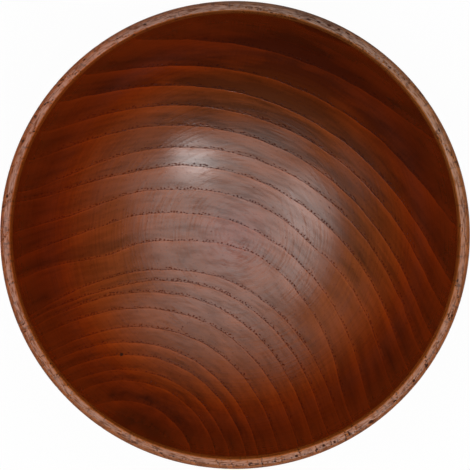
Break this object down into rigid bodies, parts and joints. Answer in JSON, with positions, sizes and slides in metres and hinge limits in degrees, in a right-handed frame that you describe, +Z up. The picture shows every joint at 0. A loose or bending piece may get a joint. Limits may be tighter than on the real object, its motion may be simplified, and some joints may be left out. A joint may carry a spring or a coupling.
{
  "type": "wooden noodle bowl",
  "caption": "Deep round noodle bowl turned from one piece of dark end-grain wood, with a thin rounded lip and a low foot ring.",
  "frame": {"origin": "centre of the foot ring, on the plane that the foot rests on", "axes": "+Z up along the axis the bowl is turned round, +Y towards the top of the picture, +X towards its right"},
  "size_m": [0.18, 0.18, 0.086],
  "materials": {
    "stained_wood": "dark red-brown stain under a satin lacquer, end grain with growth rings and open pores"
  },
  "bodies": {
    "root": {"bowl": "stained_wood"}
  },
  "joints": []
}
